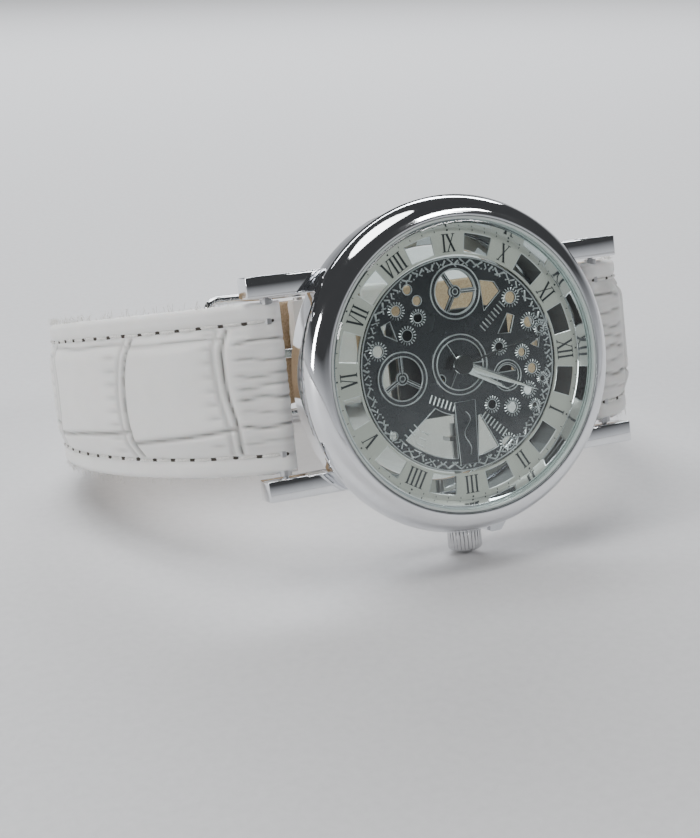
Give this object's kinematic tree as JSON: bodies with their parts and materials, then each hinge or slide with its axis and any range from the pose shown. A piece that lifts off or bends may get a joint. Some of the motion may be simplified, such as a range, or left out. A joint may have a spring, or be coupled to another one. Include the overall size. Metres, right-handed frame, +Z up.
{
  "type": "wristwatch",
  "caption": "Quartz wristwatch with a skeleton dial, bar lugs, turning hands, pull-out crown and a buckled embossed leather strap",
  "frame": {"origin": "middle of the footprint, on the surface that the watch stands on", "axes": "+X towards 12 o'clock along the case's lugs, +Y away from the dial towards the buckle, +Z up; the dial faces -Y and leans back, and the crown at 3 o'clock points down"},
  "size_m": [0.0762, 0.0662, 0.0427],
  "materials": {
    "case": "mirror-polished chrome plating",
    "steel": "satin steel",
    "glass": "clear mineral glass",
    "dial": "pale cream-silver satin lacquer with printed numerals",
    "skeleton": "black-chrome openwork with bright raised edges",
    "brass": "turned brass",
    "copper": "enamelled copper wire",
    "board": "green circuit board",
    "plastic": "moulded black plastic",
    "rubber": "black rubber",
    "hands": "polished aluminium with a pale inlay",
    "seconds": "black lacquer",
    "leather": "white embossed crocodile-pattern leather with white stitching",
    "lining": "tan smooth lining leather"
  },
  "bodies": {
    "case": {"back_crystal": "glass", "back_gasket": "rubber", "battery": "steel", "battery_clip": "brass", "bezel": "case", "buckle_bar": "steel", "buckle_frame": "case", "case_back": "case", "case_middle": "case", "circuit_board": "board", "coil_core": "steel", "coil_winding": "copper", "crown_tube": "steel", "crystal": "glass", "crystal_gasket": "rubber", "fixed_keeper": "leather", "movement_base": "plastic", "movement_cover": "steel", "movement_ring": "plastic", "movement_screw_1": "steel", "movement_screw_2": "steel", "numeral_ring": "dial", "quartz_can": "steel", "rehaut_ring": "case", "skeleton_plate": "skeleton", "spring_bar_12": "steel", "spring_bar_6": "steel", "stator": "steel", "strap_long": "leather", "strap_long_lining": "lining", "strap_short": "leather", "strap_short_lining": "lining"},
    "seconds": {"seconds_wheel": "brass", "seconds_hand": "seconds"},
    "minutes": {"centre_wheel": "brass", "minute_hand": "hands"},
    "hours": {"hour_wheel": "brass", "hour_hand": "hands"},
    "third": {"third_wheel": "brass"},
    "motion": {"minute_wheel": "brass"},
    "fifth": {"fifth_wheel": "brass"},
    "rotor": {"rotor": "steel"},
    "setting_slide": {"setting_slide": "steel"},
    "crown": {"crown": "steel", "winding_stem": "steel", "crown_gasket": "rubber"},
    "tongue": {"buckle_tongue": "steel"},
    "keeper": {"sliding_keeper": "leather"}
  },
  "joints": [
    {"name": "seconds_turn", "type": "hinge", "parent": "case", "child": "seconds", "pos_m": [0.00246, -0.02614, 0.02333], "axis": [0, 0.9682, -0.2501], "continuous": true},
    {"name": "minute_turn", "type": "hinge", "parent": "case", "child": "minutes", "pos_m": [0.00246, -0.02614, 0.02333], "axis": [0, 0.9682, -0.2501], "continuous": true},
    {"name": "hour_turn", "type": "hinge", "parent": "case", "child": "hours", "pos_m": [0.00246, -0.02614, 0.02333], "axis": [0, 0.9682, -0.2501], "continuous": true},
    {"name": "third_turn", "type": "hinge", "parent": "case", "child": "third", "pos_m": [0.00536, -0.02567, 0.02517], "axis": [0, 0.9682, -0.2501], "continuous": true},
    {"name": "motion_turn", "type": "hinge", "parent": "case", "child": "motion", "pos_m": [0.00076, -0.02679, 0.02081], "axis": [0, 0.9682, -0.2501], "continuous": true},
    {"name": "fifth_turn", "type": "hinge", "parent": "case", "child": "fifth", "pos_m": [0.00466, -0.02679, 0.02081], "axis": [0, 0.9682, -0.2501], "continuous": true},
    {"name": "rotor_turn", "type": "hinge", "parent": "case", "child": "rotor", "pos_m": [0.00746, -0.02695, 0.02023], "axis": [0, 0.9682, -0.2501], "continuous": true},
    {"name": "crown_pull", "type": "slide", "parent": "case", "child": "setting_slide", "axis": [0, -0.2501, -0.9682], "range_m": [0, 0.001]},
    {"name": "crown_turn", "type": "hinge", "parent": "setting_slide", "child": "crown", "pos_m": [0.00246, -0.0283, 0.0022], "axis": [0, -0.2501, -0.9682], "continuous": true},
    {"name": "tongue_lift", "type": "hinge", "parent": "case", "child": "tongue", "pos_m": [0.00346, 0.02556, 0.00997], "axis": [0, -0.2501, -0.9682], "range_deg": [0, 12]},
    {"name": "keeper_slide", "type": "slide", "parent": "case", "child": "keeper", "axis": [1, 0, 0], "range_m": [-0.001, 0.003]}
  ],
  "couplings": [
    {"joint": "minute_turn", "follows": "seconds_turn", "ratio": 0.016667},
    {"joint": "hour_turn", "follows": "seconds_turn", "ratio": 0.0013889},
    {"joint": "third_turn", "follows": "seconds_turn", "ratio": -0.13333},
    {"joint": "motion_turn", "follows": "seconds_turn", "ratio": -0.0055556},
    {"joint": "fifth_turn", "follows": "seconds_turn", "ratio": -5},
    {"joint": "rotor_turn", "follows": "seconds_turn", "ratio": 30}
  ]
}
